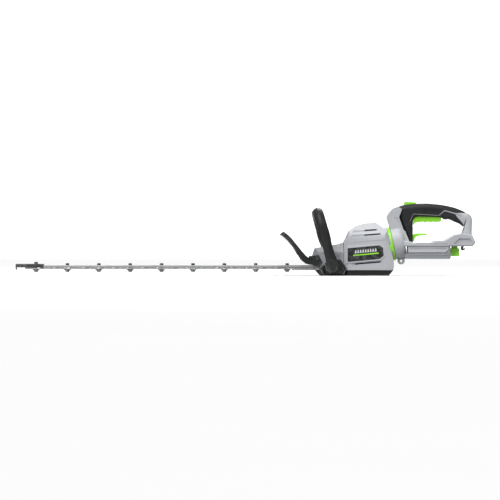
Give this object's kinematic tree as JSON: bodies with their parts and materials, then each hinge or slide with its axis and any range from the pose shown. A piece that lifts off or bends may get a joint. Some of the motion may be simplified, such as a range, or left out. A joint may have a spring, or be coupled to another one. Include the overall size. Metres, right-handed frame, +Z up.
{
  "type": "hedge trimmer",
  "caption": "Cordless hedge trimmer with double-sided reciprocating blades, a front loop handle, and a swivelling rear handle with trigger and battery rails.",
  "frame": {"origin": "middle of the bounding box on the ground plane under the skid cover", "axes": "+X towards the rear handle, -X towards the blade tip, +Y to the left side, +Z up"},
  "size_m": [1.19, 0.2, 0.191],
  "materials": {
    "shell_silver": "moulded silver-grey plastic, fine texture",
    "nose_silver": "darker silver plastic, fine texture",
    "black_plastic": "moulded black plastic, satin",
    "soft_grip": "soft overmould, matt and grained",
    "green_plastic": "bright green moulded plastic",
    "dark_grey_plastic": "dark grey plastic",
    "blade_steel": "ground blade steel",
    "bar_steel": "zinc-plated bar",
    "black_steel": "black oxide",
    "bright_steel": "bright steel",
    "gear_steel": "hardened gear steel",
    "cast_aluminium": "die cast",
    "laminations": "stacked sheet steel",
    "copper_wire": "enamelled wire",
    "circuit_board": "printed board",
    "contact_brass": "plated contacts"
  },
  "bodies": {
    "chassis": {"support_bar": "bar_steel", "blade_bolts": "black_steel", "blade_spacers": "bright_steel", "blade_nuts": "black_steel", "tip_guard": "dark_grey_plastic", "lower_guide_plate": "gear_steel", "gear_case": "nose_silver", "skid_cover": "black_plastic", "crank_bearings": "bright_steel", "gearbox_plate": "cast_aluminium", "stator_core": "laminations", "stator_windings": "copper_wire", "motor_bearings": "bright_steel", "motor_end_bracket": "cast_aluminium", "controller_board": "circuit_board", "heat_sink": "cast_aluminium", "housing_left": "shell_silver", "housing_right": "shell_silver", "badge_plates": "black_plastic", "housing_screws": "black_steel", "hand_guard": "black_plastic", "guard_screws": "black_steel", "front_handle": "soft_grip", "handle_boots": "black_plastic", "boot_screws": "black_steel", "swivel_spigot": "cast_aluminium", "swivel_ring": "green_plastic", "ring_screws": "black_steel", "swivel_retainer": "bright_steel"},
    "upper_blade_body": {"upper_blade": "blade_steel"},
    "lower_blade_body": {"lower_blade": "blade_steel"},
    "crank": {"crank_gear": "gear_steel", "crank_shaft": "bright_steel"},
    "motor_rotor": {"pinion": "gear_steel", "motor_shaft": "bright_steel", "rotor": "laminations", "cooling_fan": "black_plastic"},
    "rear_handle": {"handle_left": "shell_silver", "handle_right": "shell_silver", "grip_cover": "soft_grip", "handle_screws": "black_steel", "trigger_pin": "bright_steel", "trigger_spring": "bright_steel", "main_switch": "black_plastic", "lock_off_spring": "bright_steel", "lever_pin": "bright_steel", "lock_pin_spring": "bright_steel", "battery_dock": "shell_silver", "battery_rails": "dark_grey_plastic", "terminal_block": "black_plastic", "terminal_blades": "contact_brass", "latch_spring": "bright_steel", "rear_hook": "dark_grey_plastic"},
    "trigger_body": {"trigger": "green_plastic"},
    "lock_off_body": {"lock_off_button": "green_plastic"},
    "lever_body": {"swivel_lever": "green_plastic"},
    "lock_pin_body": {"lock_pin": "bright_steel"},
    "latch_body": {"battery_latch": "green_plastic"}
  },
  "joints": [
    {"name": "upper_blade_stroke", "type": "slide", "parent": "chassis", "child": "upper_blade_body", "axis": [1, 0, 0], "range_m": [-0.00956, 0.00956]},
    {"name": "lower_blade_stroke", "type": "slide", "parent": "chassis", "child": "lower_blade_body", "axis": [1, 0, 0], "range_m": [-0.00956, 0.00956]},
    {"name": "crank_spin", "type": "hinge", "parent": "chassis", "child": "crank", "pos_m": [0.262, 0, 0.028], "axis": [0, 0, 1], "continuous": true},
    {"name": "rotor_spin", "type": "hinge", "parent": "chassis", "child": "motor_rotor", "pos_m": [0.297, 0, 0.07], "axis": [0, 0, 1], "continuous": true},
    {"name": "handle_swivel", "type": "hinge", "parent": "chassis", "child": "rear_handle", "pos_m": [0.3762, 0, 0.0816], "axis": [0.9781, 0, 0.2079], "range_deg": [-90, 90]},
    {"name": "trigger_pull", "type": "hinge", "parent": "rear_handle", "child": "trigger_body", "pos_m": [0.503, 0, 0.156], "axis": [0, 1, 0], "range_deg": [0, 6], "stiffness_Nm_per_rad": 1, "springref_deg": -11.46, "deforming": ["trigger_spring"]},
    {"name": "lock_off_press", "type": "slide", "parent": "rear_handle", "child": "lock_off_body", "axis": [0, 0, -1], "range_m": [0, 0.003], "stiffness_N_per_m": 600, "springref_m": -0.004, "deforming": ["lock_off_spring"]},
    {"name": "lever_press", "type": "hinge", "parent": "rear_handle", "child": "lever_body", "pos_m": [0.426, 0, 0.094], "axis": [0, 1, 0], "range_deg": [0, 12]},
    {"name": "lock_pin_slide", "type": "slide", "parent": "rear_handle", "child": "lock_pin_body", "axis": [0.9781, 0, 0.2079], "range_m": [0, 0.004], "stiffness_N_per_m": 150, "springref_m": -0.004, "deforming": ["lock_pin_spring"]},
    {"name": "latch_press", "type": "slide", "parent": "rear_handle", "child": "latch_body", "axis": [0, 0, 1], "range_m": [0, 0.004], "stiffness_N_per_m": 500, "springref_m": -0.004, "deforming": ["latch_spring"]}
  ],
  "couplings": [
    {"joint": "lower_blade_stroke", "follows": "upper_blade_stroke", "ratio": -1},
    {"joint": "rotor_spin", "follows": "crank_spin", "ratio": -6},
    {"joint": "lever_press", "follows": "lock_pin_slide", "rad_per_m": 52.35}
  ]
}
